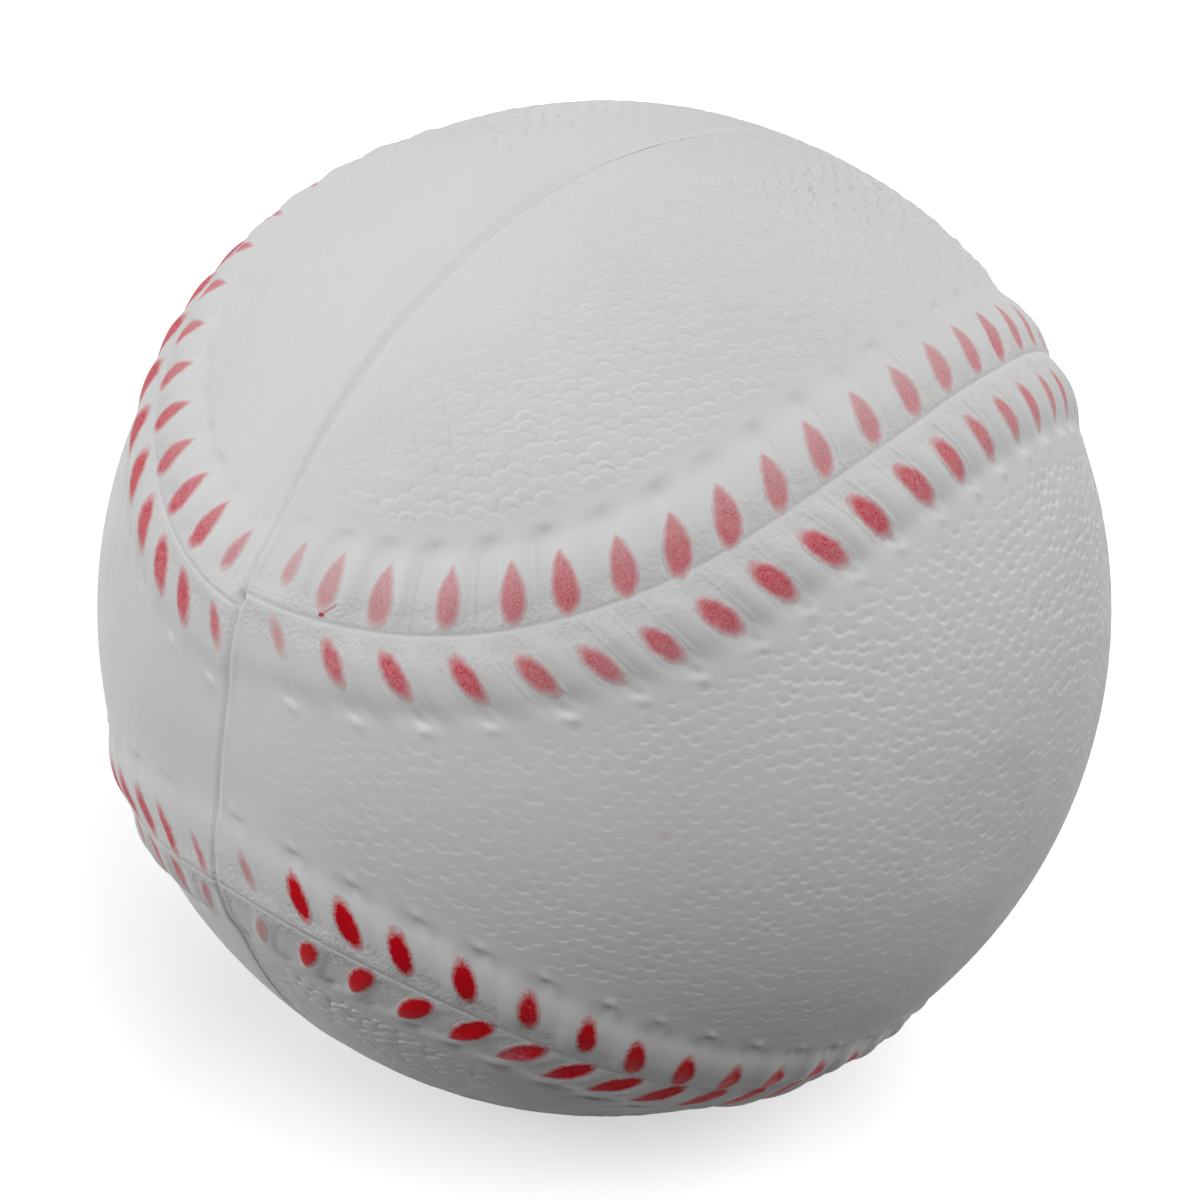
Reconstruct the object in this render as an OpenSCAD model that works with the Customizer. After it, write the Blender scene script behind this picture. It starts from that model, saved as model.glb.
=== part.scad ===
// Soft moulded play baseball: a foam core, its dense skin in two halves that meet
// on the mould's parting line, and painted stitch marks seated in moulded slots.
// The ball stands on its lowest point with +Z up. The parting plane is XZ,
// so the front half is on the -Y side. The origin is the ball's centre.

/* [Ball] */
// Diameter over the plain panels
ball_d = 72; // [66:0.5:80]
// Thickness of the dense skin round the foam
skin_t = 1.6; // [1.4:0.1:3]

/* [Seam] */
// Angle from the ball's axis to the axis of a round end of the seam
end_tilt = 30.7; // [29.5:0.1:32]
// Angle between that axis and the seam that turns round it
end_reach = 41.9; // [41:0.1:43]
// Angle that the seam turns each way from the middle of a round end
end_turn = 58.2; // [54:0.2:61]
// Radius of the rounded lip on each side of the seam
lip_r = 5; // [4.8:0.1:6]
// Distance from the seam to the crown of a lip
lip_off = 2.4; // [2.2:0.1:2.5]
// Height of the crown over the panels
lip_h = 0.7; // [0.65:0.05:0.8]

/* [Parting line] */
// Width of the groove at the skin's surface
parting_w = 0.5; // [0.3:0.1:0.8]
// Depth of the groove
parting_deep = 0.2; // [0.1:0.05:0.4]

/* [Stitches] */
// Stitches on one row of a quarter of the seam
quarter_stitches = 25; // [18:1:27]
// Distance along the seam from the parting line to the first stitch
first_stitch = 2.8; // [2.4:0.1:3.4]
// Angle by which a stitch leans along the seam
stitch_lean = 16; // [0:1:20]
// Width of a stitch's slot
slot_w = 1.75; // [1.5:0.05:2]
// Depth of the slot at the crown of the lip
slot_deep = 0.25; // [0.2:0.05:0.35]
// Distance from the seam to the slot's inner end
slot_in = 0.7; // [0.5:0.1:1]
// Distance from the seam to the slot's outer end, at the foot of the lip
slot_out = 5; // [4.7:0.1:5.1]

/* [Paint] */
// Thickness of a painted mark
dab_t = 0.12; // [0.08:0.02:0.16]
// Clearance between a mark and each side of its slot
dab_side_gap = 0.18; // [0.12:0.02:0.3]
// Clearance between the mark's round inner end and the slot's
dab_in_gap = 0.2; // [0.15:0.05:0.4]
// Clearance between the mark's point and the slot's outer end
dab_tip_gap = 0.3; // [0.2:0.1:1]

/* [Hidden] */
$fn = 96;

ball_r = ball_d / 2;
core_r = ball_r - skin_t;
crown_r = ball_r + lip_h;
lip_center_r = crown_r - lip_r;
lip_angle = lip_off / ball_r * 180 / PI;
// Overrun of every cutting solid past the surface that it cuts
overrun = 1;
// Angle by which the end arcs run past the parting plane before they are cut
arc_overrun = 3;
// Between two arcs the lips have a short join, proud of both, and the arcs stop inside it
join_l = 1;
join_rise = 0.03;
join_gap = 0.3;

// The seam is made of round ends and runs, all arcs of circles on the ball.
// An eighth of it goes from the middle of a round end, on the parting plane,
// to the crossing, where the seam changes its curve from one side to the other.
end_axis = [-sin(end_tilt), 0, cos(end_tilt)];
end_start = [-cos(end_tilt), 0, -sin(end_tilt)];
end_side = cross(end_axis, end_start);
join_dir = cos(end_reach) * end_axis
    + sin(end_reach) * (cos(end_turn) * end_start + sin(end_turn) * end_side);
crossing_dir = [0, -1, 1] / sqrt(2);
inward_dir = across(end_axis, join_dir);
run_reach = atan2(1 - join_dir * crossing_dir, inward_dir * crossing_dir);
run_axis = cos(run_reach) * join_dir + sin(run_reach) * inward_dir;
run_start = across(join_dir, run_axis);
run_side = cross(run_axis, run_start);
run_turn = atan2(crossing_dir * run_side, crossing_dir * run_start);

end_gap_turn = arc_turn(end_reach, join_gap);
run_gap_turn = arc_turn(run_reach, join_gap);

end_len = arc_len(end_reach, end_turn);
run_len = arc_len(run_reach, run_turn);
eighth_len = end_len + run_len;
quarter_len = 2 * eighth_len;
stitch_pitch = (quarter_len - first_stitch) / (quarter_stitches - 1 / 2);

slot_floor_r = lip_r - slot_deep;
slot_mid = (slot_in + slot_out) / 2 - lip_off;
slot_run = slot_out - slot_in - slot_w;
// Depth under the crown that no slot's floor reaches
slot_base = slot_floor_r / 2;
dab_w = slot_w - 2 * dab_side_gap;
dab_l = slot_out - slot_in - dab_in_gap - dab_tip_gap;
dab_tip = slot_out - dab_tip_gap - lip_off;
// Where a mark is widest, as a share of its length from its outer point
dab_point_share = 0.6;
dab_point_l = dab_l * dab_point_share;
dab_side_r = (pow(dab_point_l, 2) + pow(dab_w / 2, 2)) / dab_w;

// Part of v that is square to the direction n, as a direction
function across(v, n) = unit(v - n * (n * v));
function unit(v) = v / norm(v);
function arc_len(reach, turn) = ball_r * sin(reach) * turn * PI / 180;
function arc_turn(reach, len) = len / (ball_r * sin(reach)) * 180 / PI;

// Turns Z to the direction z and X to the direction x
function frame(z, x) = let (y = cross(z, x)) [
    [x[0], y[0], z[0], 0],
    [x[1], y[1], z[1], 0],
    [x[2], y[2], z[2], 0],
    [0, 0, 0, 1]
];

// Both lips of the seam, cut square to it
module lip_profile(reach, rise) {
    for (side = [-1, 1])
        rotate(90 - reach - side * lip_angle)
            translate([lip_center_r, 0])
                circle(lip_r + rise);
}

module lip_arc(axis, start, reach, from, turn, rise = 0) {
    multmatrix(frame(axis, start))
        rotate([0, 0, from])
            rotate_extrude(angle = turn)
                lip_profile(reach, rise);
}

module end_arc(from, turn) {
    lip_arc(end_axis, end_start, end_reach, from, turn);
}

module run_arc() {
    lip_arc(run_axis, run_start, run_reach, run_gap_turn, run_turn - 2 * run_gap_turn);
}

// Join between a round end and a run
module end_join() {
    turn = arc_turn(end_reach, join_l);
    lip_arc(end_axis, end_start, end_reach, end_turn - turn / 2, turn, join_rise);
}

// Join between two runs, at the crossing
module crossing_join() {
    turn = arc_turn(run_reach, join_l);
    lip_arc(run_axis, run_start, run_reach, run_turn - turn / 2, turn, join_rise);
}

// The seam's lips over one half of the ball, as seven arcs end to end
module half_lips() {
    for (low = [0, 1])
        mirror([0, 0, low]) {
            end_arc(-arc_overrun, arc_overrun + end_turn - end_gap_turn);
            crossing_join();
            for (turned = [0, 1])
                rotate(a = turned * 180, v = crossing_dir) {
                    run_arc();
                    end_join();
                }
        }
    rotate(a = 180, v = crossing_dir)
        end_arc(end_gap_turn - end_turn, 2 * (end_turn - end_gap_turn));
}

// Puts its children on the ball at a distance along the seam from the parting line,
// with Z out of the ball, Y along the seam and X towards the side panel
module on_eighth(s) {
    if (s < end_len)
        multmatrix(frame(end_axis, end_start))
            rotate([0, end_reach, s / end_len * end_turn])
                children();
    else
        multmatrix(frame(run_axis, run_start))
            rotate([0, run_reach, (s - end_len) / run_len * run_turn])
                children();
}

module on_quarter(s) {
    if (s < eighth_len)
        on_eighth(s)
            children();
    else
        rotate(a = 180, v = crossing_dir)
            on_eighth(quarter_len - s)
                rotate([0, 0, 180])
                    children();
}

// One child for each stitch of a row on the front half. Its X runs out from the crown
// of the lip, along the stitch, and its Z out of the ball.
// side is 1 on the side panel's row and -1 on the cap panel's.
module front_row(side, lean) {
    for (low = [0, 1])
        mirror([0, 0, low])
            for (k = [0 : quarter_stitches - 1])
                on_quarter(first_stitch + k * stitch_pitch)
                    rotate([0, side * lip_angle, 0])
                        translate([0, 0, crown_r])
                            rotate([0, 0, 90 - side * 90 + side * (1 - 2 * low) * lean])
                                children();
}

// A slot is straight, with round ends, and its floor follows the lip's curve
module slot() {
    difference() {
        translate([slot_mid, 0, -slot_base])
            linear_extrude(slot_base + overrun)
                union() {
                    square([slot_run, slot_w], center = true);
                    for (end = [-1, 1])
                        translate([end * slot_run / 2, 0])
                            circle(d = slot_w);
                }
        slot_floor();
    }
}

// The sphere of a slot's floor, with its poles turned away from the slot
module slot_floor(rise = 0) {
    translate([0, 0, -lip_r])
        rotate([90, 0, 0])
            sphere(slot_floor_r + rise);
}

// A mark is a thin leaf of paint on the slot's floor, pointed outwards
module dab() {
    difference() {
        intersection() {
            slot_floor(dab_t);
            translate([dab_tip, 0, -slot_base])
                linear_extrude(slot_base + overrun)
                    dab_outline();
        }
        slot_floor();
    }
}

module dab_outline() {
    intersection() {
        intersection_for (side = [-1, 1])
            translate([-dab_point_l, side * (dab_w / 2 - dab_side_r)])
                circle(dab_side_r);
        circle(dab_l);
    }
}

module parting_groove() {
    rotate([90, 0, 0])
        rotate_extrude()
            polygon([
                [ball_r - parting_deep, 0],
                [ball_r, parting_w / 2],
                [crown_r + overrun, parting_w / 2],
                [crown_r + overrun, 0]
            ]);
}

// The front half of the skin. A negative lean makes the half that becomes the rear.
module half_skin(lean) {
    difference() {
        union() {
            sphere(ball_r);
            half_lips();
        }
        sphere(core_r);
        translate([0, crown_r + overrun, 0])
            cube(2 * (crown_r + overrun), center = true);
        parting_groove();
        for (side = [-1, 1])
            front_row(side, lean)
                slot();
    }
}

module foam_core() {
    color("#e9e6dc")
        sphere(core_r);
}

module skin_front() {
    color("#e4e4e2")
        half_skin(stitch_lean);
}

module skin_rear() {
    color("#e4e4e2")
        mirror([0, 1, 0])
            half_skin(-stitch_lean);
}

module paint_front_cap_row() {
    color("#c8323c")
        front_row(-1, stitch_lean)
            dab();
}

module paint_front_side_row() {
    color("#c8323c")
        front_row(1, stitch_lean)
            dab();
}

module paint_rear_cap_row() {
    color("#c8323c")
        mirror([0, 1, 0])
            front_row(-1, -stitch_lean)
                dab();
}

module paint_rear_side_row() {
    color("#c8323c")
        mirror([0, 1, 0])
            front_row(1, -stitch_lean)
                dab();
}

foam_core();
skin_front();
skin_rear();
paint_front_cap_row();
paint_front_side_row();
paint_rear_cap_row();
paint_rear_side_row();
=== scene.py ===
"""A soft moulded play baseball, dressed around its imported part.

The skin's halves are dense shells whose relief comes from one height function: the seam's lips and
valley, the channels, pillows and holes of the stitches, the pebble grain and the parting line.
The painted marks are thin leaves that lie on that same relief.
Directions are unit vectors from the ball's centre. Lengths are in metres, but a profile along a row
takes its place, and gives a length, in millimetres.
"""

import math

import bpy
import numpy as np
from mathutils import Matrix, Vector
from mathutils.bvhtree import BVHTree
from mathutils.kdtree import KDTree


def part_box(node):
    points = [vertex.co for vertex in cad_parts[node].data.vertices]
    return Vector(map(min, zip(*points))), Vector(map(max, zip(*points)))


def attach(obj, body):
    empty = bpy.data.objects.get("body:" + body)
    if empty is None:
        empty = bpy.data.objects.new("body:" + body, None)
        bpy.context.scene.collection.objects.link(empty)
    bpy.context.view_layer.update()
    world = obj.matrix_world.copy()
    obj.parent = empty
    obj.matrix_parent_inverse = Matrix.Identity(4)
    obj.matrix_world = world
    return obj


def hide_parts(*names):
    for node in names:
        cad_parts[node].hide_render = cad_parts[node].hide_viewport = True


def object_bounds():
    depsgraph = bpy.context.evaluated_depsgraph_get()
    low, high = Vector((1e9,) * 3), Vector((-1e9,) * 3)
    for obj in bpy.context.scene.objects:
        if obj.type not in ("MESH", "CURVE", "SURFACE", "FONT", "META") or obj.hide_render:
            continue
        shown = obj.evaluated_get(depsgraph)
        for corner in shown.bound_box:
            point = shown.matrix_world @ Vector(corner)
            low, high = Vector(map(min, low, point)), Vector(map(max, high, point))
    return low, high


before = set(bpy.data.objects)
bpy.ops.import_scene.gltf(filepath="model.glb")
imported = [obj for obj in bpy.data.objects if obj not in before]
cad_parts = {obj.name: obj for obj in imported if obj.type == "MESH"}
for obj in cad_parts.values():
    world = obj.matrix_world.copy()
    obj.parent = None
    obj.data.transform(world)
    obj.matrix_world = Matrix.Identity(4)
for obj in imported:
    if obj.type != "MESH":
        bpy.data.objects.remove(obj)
cad_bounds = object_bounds()

MM = 0.001
FRONT, REAR = -1, 1
CAP, SIDE = -1, 1


def unit(v):
    return v / np.linalg.norm(v, axis=-1, keepdims=True)


def smooth(low, high, x):
    """0 below low, 1 above high and an even S between."""
    t = np.clip((x - low) / (high - low), 0, 1)
    return t * t * (3 - 2 * t)


def bell(x, width):
    return np.exp(-((x / width) ** 2))


class Profile:
    """A measure that changes along a row: a base, steps (rise, from, to) and bells (height, place, width)."""

    def __init__(self, base, steps=(), bells=()):
        self.base = base
        self.steps = steps
        self.bells = bells

    def __call__(self, s):
        total = np.full_like(s, self.base)
        for rise, start, end in self.steps:
            total += rise * smooth(start, end, s)
        for height_there, place, width in self.bells:
            total += height_there * bell(s - place, width)
        return total


# Ball
SKIN_T = 1.6 * MM
CORE_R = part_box("foam_core")[1].z
BALL_R = CORE_R + SKIN_T

# Seam, as in the solids: round ends and runs, all arcs of circles
END_TILT = math.radians(30.7)
END_REACH = math.radians(41.9)
END_TURN = math.radians(58.2)
LIP_R = 5 * MM
LIP_OFF = 2.4 * MM
LIP_H = 0.7 * MM

# How far, in millimetres, the moulded seam strays towards the side panel. SEEN_SHARE ends it on the far side
FRONT_STRAY = Profile(-0.5, ((0.5, 3, 20), (0.4, 50, 64)), ((0.6, 29, 8), (-0.25, 45, 6)))
LOW_STRAY = 0.85
REAR_STRAY = Profile(0.6, ((-0.6, 0, 12), (-0.25, 10, 18)))
SEEN_SHARE = Profile(1, ((-1, 75, 100),))

# Lips: the blur by the parting line makes them softer and lower. The fill's reach is in millimetres
FOOT_SOFT = 0.28 * MM
BLUR_SHARE = Profile(1, ((-1, 1, 14),))
BLUR_SOFT_SHARE = 1.2
BLUR_SINK_SHARE = 0.15
SIDE_FOOT_SHARE = Profile(0, (), ((0.9, 22, 14),))
VALLEY_FILL = 0.48 * MM
VALLEY_FILL_W = 1.3 * MM
VALLEY_FILL_REACH = {FRONT: 9, REAR: 16}
VALLEY_FILL_LOW_REACH = 24
VALLEY_FILL_FULL_SHARE = 0.2
VALLEY_ROUND = 0.4 * MM
VALLEY_ROUND_SHARE = Profile(1, ((-0.8, 20, 45),))

# Stitches: lean in degrees, with what the low rows add, and the channels' drift along the seam
QUARTER_STITCHES = 25
FIRST_STITCH = 2.8 * MM
LEAN = {CAP: Profile(12), SIDE: Profile(25, ((-11, 38, 56),))}
LOW_LEAN = {CAP: Profile(0, ((14, 8, 24),)), SIDE: Profile(0, ((11, 38, 56),))}
DRIFT = {CAP: Profile(-0.9), SIDE: Profile(0.45, ((-1.6, 8, 60),))}
STITCH_SHAKE = 0.2 * MM
STITCH_STRENGTH_SHARE = 0.75
STITCH_STRENGTH_SHAKE_SHARE = 0.25
STITCH_PARTING_SHARE = Profile(0.45, ((0.55, 2, 12),))

# Channels, with the pillows between them and a fine line along each edge. In and out are off the valley
CHANNEL_HALF_W = 0.95 * MM
PILLOW_H = 0.2 * MM
PILLOW_IN = (0.1 * MM, 1.5 * MM)
PILLOW_OUT = (4.6 * MM, 6.4 * MM)
EDGE_LINE_H = 0.12 * MM
EDGE_LINE_W = 0.12 * MM
EDGE_LINE_IN = (0.2 * MM, 0.6 * MM)
EDGE_LINE_OUT = (4.2 * MM, 5.4 * MM)
EDGE_LINE_SHARE = Profile(0, ((1, 3, 16),))
EDGE_LINE_LOW_SHARE = 0.35

# Stitch holes, each with a pip outside it
HOLE_OFF = 5.55 * MM
HOLE_SHIFT = Profile(0, (), ((0.5, 30, 9),))
HOLE_HALF_W = {CAP: 0.6 * MM, SIDE: 0.38 * MM}
HOLE_INNER_L = 0.8 * MM
HOLE_OUTER_L = {CAP: 0.45 * MM, SIDE: 0.26 * MM}
HOLE_DEEP = 0.24 * MM
PIP_OFF = 0.55 * MM
PIP_L = 0.38 * MM
PIP_H = {CAP: 0.04 * MM, SIDE: 0.14 * MM}

# Parting line, with a bead on its front side and a nick where the seam meets it
PARTING_GROOVE_W = 0.25 * MM
PARTING_DEEP = 0.17 * MM
PARTING_TOP_SHARE = Profile(1, ((0.8, 0.4, 0.7),))
PARTING_BEAD_AT = -0.45 * MM
PARTING_BEAD_W = 0.3 * MM
PARTING_BEAD_H = 0.05 * MM
MISMATCH_W = 0.9 * MM
NICK_R = 0.36 * MM
NICK_DEEP = 0.3 * MM

# The skin sinks where the ball touches its box, and is cut a little inside it
POLE_SHARES = (0.985, 0.998)
POLE_SINK = 0.07 * MM
BOX_SHARE = 0.9983

# Grain: round scales that overlap, raised at their upper edge or sunk at their lower one
GRAIN_PITCH = 1.1 * MM
GRAIN_SHAKE_SHARE = 0.15
GRAIN_R = {CAP: 0.66 * MM, SIDE: 0.56 * MM}
GRAIN_H = 0.2 * MM
GRAIN_EDGE_SHARE = 0.22
GRAIN_LOW_SHARE = 0.12
GRAIN_POWER = {CAP: 1.2, SIDE: 3.6}
GRAIN_GROOVE = 0.1 * MM
GRAIN_GROOVE_AT_SHARE = 1.14
GRAIN_GROOVE_W_SHARE = 0.1
GRAIN_NEIGHBOURS = 6
GRAIN_STRENGTH_SHARES = (0.45, 1.2)
GRAIN_SIZE_SHARES = (0.85, 1.15)
GRAIN_LEAST_SHARE = 0.01

# Share of the full grain, by distances and by the direction's X and Z
GRAIN_OFF = (6.2 * MM, 7.8 * MM)
GRAIN_PARTING_SHARE = {CAP: Profile(0.4, ((0.6, 2, 9),)), SIDE: Profile(0.35, ((0.65, 2, 16),))}
GRAIN_REAR_SHARE = {CAP: 0.5, SIDE: 0.75}
GRAIN_CLOUD_SHARES = (0.85, 0.25)
GRAIN_CLOUD_LIMIT_SHARES = (0.3, 1.2)
CLOUD_WAVES = 9
CLOUD_SCALE = 2.4
CLOUD_WAVE_SHARES = (0.6, 1.6)
RIGHT_SHARE = Profile(0, ((1, -0.6, -0.3),))
SIDE_X_SHARE = Profile(0.28, ((0.1, -0.86, -0.97),))
SIDE_MIDDLE_SHARE = Profile(0, ((0.3, -0.2, 0),))
SIDE_TOP_SHARE = Profile(0, ((0.45, 0.08, 0.44),))
CAP_X_SHARE = Profile(1.1, ((0.5, -0.4, 0.1),))
CAP_Z_SHARE = Profile(1, ((-0.75, -0.35, -0.7),))

# Painted marks, in millimetres along the seam and off it. Each row has its own shift along the seam
MARK_SHIFT = {
    (FRONT, CAP): Profile(
        0.5,
        ((-0.5, 3, 6), (-1.1, 24, 38)),
        ((0.85, 18, 4), (-0.4, 9.5, 3), (-0.3, 43, 3), (0.35, 53, 6)),
    ),
    (FRONT, SIDE): Profile(0.75, ((-0.75, 18, 34), (-1.1, 28, 62)), ((0.55, 17, 3), (0.3, 47.5, 2.5))),
    (REAR, CAP): Profile(-0.55, ((-0.55, 3, 9),)),
    (REAR, SIDE): Profile(-1.25, ((-1.7, 2, 14),)),
}
LOW_MARK_SHIFT = {CAP: Profile(0.85, ((-1.6, 16, 42),)), SIDE: Profile(0, ((-1.4, 5, 16),))}

# Distance of a mark's middle off the valley. The first marks of a row stand further in or out
MARK_OFF = {
    CAP: Profile(1.85, ((0.3, 10, 16),), ((-0.3, 31, 7),)),
    SIDE: Profile(3.2, (), ((0.5, 26, 7),)),
}
LOW_MARK_OFF = {CAP: Profile(0, ((-0.9, 14, 22),)), SIDE: Profile(-0.4, ((-0.7, 26, 32),))}
REAR_MARK_OFF = {CAP: Profile(0, ((-0.55, 11, 18),)), SIDE: Profile(-0.35, ((-0.55, 11, 18),))}
FIRST_MARK_OFF = {(FRONT, CAP): 1.6, (REAR, CAP): 1.6, (FRONT, SIDE): -1.9, (REAR, SIDE): -1.2}
LOW_FIRST_MARK_OFF = {(FRONT, CAP): 1.2, (REAR, CAP): 1.2, (FRONT, SIDE): -0.3, (REAR, SIDE): -1.2}
FIRST_MARK_REACH = {CAP: 8, SIDE: 9}

# Least distance of a mark's inner end from the valley. Below 0, the mark may cross it
VALLEY_GAP = -0.2 * MM

# Length and width of a mark
MARK_L = {CAP: Profile(4.1, ((-0.3, 34, 46),)), SIDE: Profile(3.72, ((0.65, 28, 34), (-0.45, 46, 54)))}
MARK_W = {CAP: Profile(1.68), SIDE: Profile(1.32, ((0.2, 24, 36),))}
FIRST_MARK_L_SHARE = Profile(0.82, ((0.18, 2, 8.5),))
FIRST_MARK_W_SHARE = Profile(0.58, ((0.42, 1, 9.5),))
REAR_MARK_L_SHARE = 1.08
REAR_MARK_W_SHARE = {CAP: 0.98, SIDE: 1.15}
REAR_LOW_MARK_W_SHARE = 0.9
LOW_MARK_L_SHARE = {CAP: 0, SIDE: 0.12}
LOW_MARK_W_SHARE = -0.05

# Strength of a mark's paint. The low front rows have thick paint
MARK_STRENGTH = {
    (FRONT, CAP): Profile(0.48, ((0.29, 4, 24), (-0.16, 33, 46), (0.06, 58, 66))),
    (FRONT, SIDE): Profile(0.53, ((0.33, 2, 9), (-0.2, 46, 58)), ((-0.13, 23, 5),)),
    (REAR, CAP): Profile(0.62, ((0.22, 2, 6),)),
    (REAR, SIDE): Profile(0.72, ((0.16, 2, 5),)),
}
THICK_STRENGTH = Profile(0.55, ((0.75, 2.5, 6),), ((-0.22, 24, 4),))
# Strength at a mark's inner end, and what its outer end adds
END_STRENGTH_SHARES = {CAP: (1.1, -0.35), SIDE: (1.05, -0.12)}

# How much chance changes a mark's place off the seam, lean, length, width and strength
OFF_SHAKE = 0.1
LEAN_SHAKE = math.radians(3)
LENGTH_SHAKE = 0.12
WIDTH_SHAKE = {CAP: 0.08, SIDE: 0.06}
STRENGTH_SHAKE = 0.03

# Outline and thickness of a mark's leaf, which is a feather wider than its paint
WIDEST_SHARE = {CAP: 0.4, SIDE: 0.47}
POINT_POWER = {CAP: 0.8, SIDE: 0.5}
END_SHARE = 0.004
FEATHER = 0.25 * MM
MARK_LIFT = 0.045 * MM
MARK_SINK = 0.09 * MM
RIM_W = 0.3 * MM
RIM_SHARE = 0.22

# Scuffs on each side of the valley
SCUFF_IN = (0, 0.3 * MM)
SCUFF_OUT = (1.6 * MM, 3.2 * MM)

# Seeds of the random draws. A row's own seed is so many steps from the first
GRAIN_SEED = 7
GRAIN_STRENGTH_SEED = 11
GRAIN_SIZE_SEED = 12
CLOUD_SEED = 3
STITCH_SEED = 100
MARK_SEED = 500
ROW_SEED_STEP = 10

# Meshes
FACE_CELLS = 500
HALF_FACE_ROWS = 300
INNER_COARSER = 5
ROW_SPACING_SHARE = 0.45
ROW_SPACING_POWER = 1.6
MARK_ROWS = 32
MARK_COLUMNS = 14

# Tolerances on unit directions, and the widest step across the valley that is drawn onto it
MERGE_CELLS = 1e7
ON_PLANE = 1e-9
NO_ZERO = 1e-6
SLOPE_STEP = 1e-4
SNAP_SPAN = 1 * MM

# Flat maps, in shares of the whole map: the ball's faces, and a tile for each mark
FACE_MAP_SHARE = 2 / 3
MAP_GAP_SHARE = 0.004
UNSEEN_MAP_SHARE = 0.999
MARK_TILES = 10
MARK_TILE_SHARE = 0.1
MARK_MAP_SHARE = 0.094
MARK_MAP_GAP_SHARE = 0.003


class Arc:
    """A stretch of the seam: part of a circle round an axis through the ball's centre."""

    def __init__(self, axis, start, reach, turn, first):
        self.axis = axis
        self.start = start
        self.side = np.cross(axis, start)
        self.reach = reach
        self.turn = turn
        self.first = first
        self.length = BALL_R * math.sin(reach) * turn

    def locate(self, p):
        """Distance along the seam, signed distance from it, and how far p lies off the arc."""
        turn = np.arctan2(p @ self.side, p @ self.start)
        off = BALL_R * (np.arccos(np.clip(p @ self.axis, -1, 1)) - self.reach)
        clamped = np.clip(turn, 0, self.turn)
        beyond = np.abs(turn - clamped) * BALL_R * math.sin(self.reach)
        along = self.first + turn / self.turn * self.length
        return along, off, np.hypot(off, beyond)

    def place(self, along, off):
        turn = (along - self.first) / self.length * self.turn
        reach = self.reach + off / BALL_R
        out = np.cos(turn)[:, None] * self.start + np.sin(turn)[:, None] * self.side
        return np.cos(reach)[:, None] * self.axis + np.sin(reach)[:, None] * out


def seam_arcs():
    """The round end and the run that make an eighth of the seam."""
    end_axis = np.array([-math.sin(END_TILT), 0, math.cos(END_TILT)])
    end_start = np.array([-math.cos(END_TILT), 0, -math.sin(END_TILT)])
    end = Arc(end_axis, end_start, END_REACH, END_TURN, 0)
    join = end.place(np.array([end.length]), np.zeros(1))[0]
    crossing = np.array([0, -1, 1]) / math.sqrt(2)
    inward = unit(end_axis - join * (join @ end_axis))
    reach = math.atan2(1 - join @ crossing, inward @ crossing)
    run_axis = math.cos(reach) * join + math.sin(reach) * inward
    run_start = unit(join - run_axis * (run_axis @ join))
    run_side = np.cross(run_axis, run_start)
    turn = math.atan2(crossing @ run_side, crossing @ run_start)
    return end, Arc(run_axis, run_start, reach, turn, end.length)


END_ARC, RUN_ARC = seam_arcs()
EIGHTH = END_ARC.length + RUN_ARC.length
QUARTER = 2 * EIGHTH
PITCH = (QUARTER - FIRST_STITCH) / (QUARTER_STITCHES - 1 / 2)


def turned(p):
    """p turned by half a turn about the crossing, which maps the seam onto itself."""
    return np.stack([-p[:, 0], -p[:, 2], -p[:, 1]], 1)


def row_place(along):
    """Distance in millimetres from the nearer end of a row, on the parting line."""
    return np.minimum(along, 2 * QUARTER - along) / MM


def wander(half, along):
    """How far the moulded seam strays towards the side panel, which differs between the mould's halves."""
    s = row_place(along)
    if half == FRONT:
        stray = np.where(along > QUARTER, LOW_STRAY, FRONT_STRAY(s))
    else:
        stray = REAR_STRAY(s)
    return stray * SEEN_SHARE(s) * MM


def seam_coordinates(p, half):
    """Distance along the seam from the upper end of a half, and signed distance towards the side panel."""
    folded = np.stack([p[:, 0], -np.abs(p[:, 1]), np.abs(p[:, 2])], 1)
    best = np.full(len(p), np.inf)
    along = np.zeros(len(p))
    off = np.zeros(len(p))
    for flip, q in ((False, folded), (True, turned(folded))):
        for arc in (END_ARC, RUN_ARC):
            a, o, d = arc.locate(q)
            if flip:
                a, o = QUARTER - a, -o
            nearer = d < best
            best = np.where(nearer, d, best)
            along = np.where(nearer, a, along)
            off = np.where(nearer, o, off)
    along = np.where(p[:, 2] < 0, 2 * QUARTER - along, along)
    return along, off - wander(half, along)


def on_seam(half, along, off):
    """The direction at a distance along a half's seam and a distance off it."""
    off = off + wander(half, along)
    low = along > QUARTER
    s = np.where(low, 2 * QUARTER - along, along)
    late = s > EIGHTH
    s = np.where(late, QUARTER - s, s)
    o = np.where(late, -off, off)
    p = np.where((s < END_ARC.length)[:, None], END_ARC.place(s, o), RUN_ARC.place(s, o))
    p = np.where(late[:, None], turned(p), p)
    p[:, 2] *= np.where(low, -1, 1)
    p[:, 1] *= -half
    return p


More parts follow.
